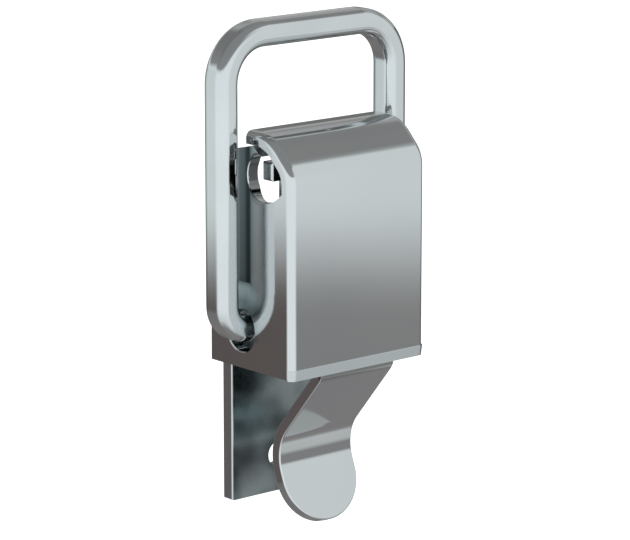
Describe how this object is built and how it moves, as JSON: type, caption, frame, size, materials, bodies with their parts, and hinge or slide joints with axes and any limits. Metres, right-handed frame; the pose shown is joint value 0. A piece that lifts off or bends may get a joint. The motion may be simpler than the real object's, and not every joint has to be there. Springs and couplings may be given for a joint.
{
  "type": "over-centre catch",
  "caption": "Heavy over-centre catch: T-headed base strip, pressed lever housing with scooped cheeks and pull tab, and a rectangular bail.",
  "frame": {"origin": "midway between the two mounting holes, on the base strip's back face", "axes": "+Y into the mounting surface, +Z towards the keeper along the line of the mounting holes, +X across the catch"},
  "size_m": [0.065, 0.0368, 0.1363],
  "materials": {
    "strip_steel": "bright rolled",
    "housing_steel": "polished",
    "bail_steel": "polished"
  },
  "bodies": {
    "base": {"base_strip": "strip_steel"},
    "lever": {"lever": "housing_steel"},
    "bail": {"bail": "bail_steel"}
  },
  "joints": [
    {"name": "lever_pivot", "type": "hinge", "parent": "base", "child": "lever", "pos_m": [0, -0.0222, 0.0633], "axis": [-1, 0, 0], "range_deg": [0, 120]},
    {"name": "bail_pivot", "type": "hinge", "parent": "lever", "child": "bail", "pos_m": [0, -0.016, 0.0228], "axis": [1, 0, 0], "range_deg": [0, 180]}
  ]
}
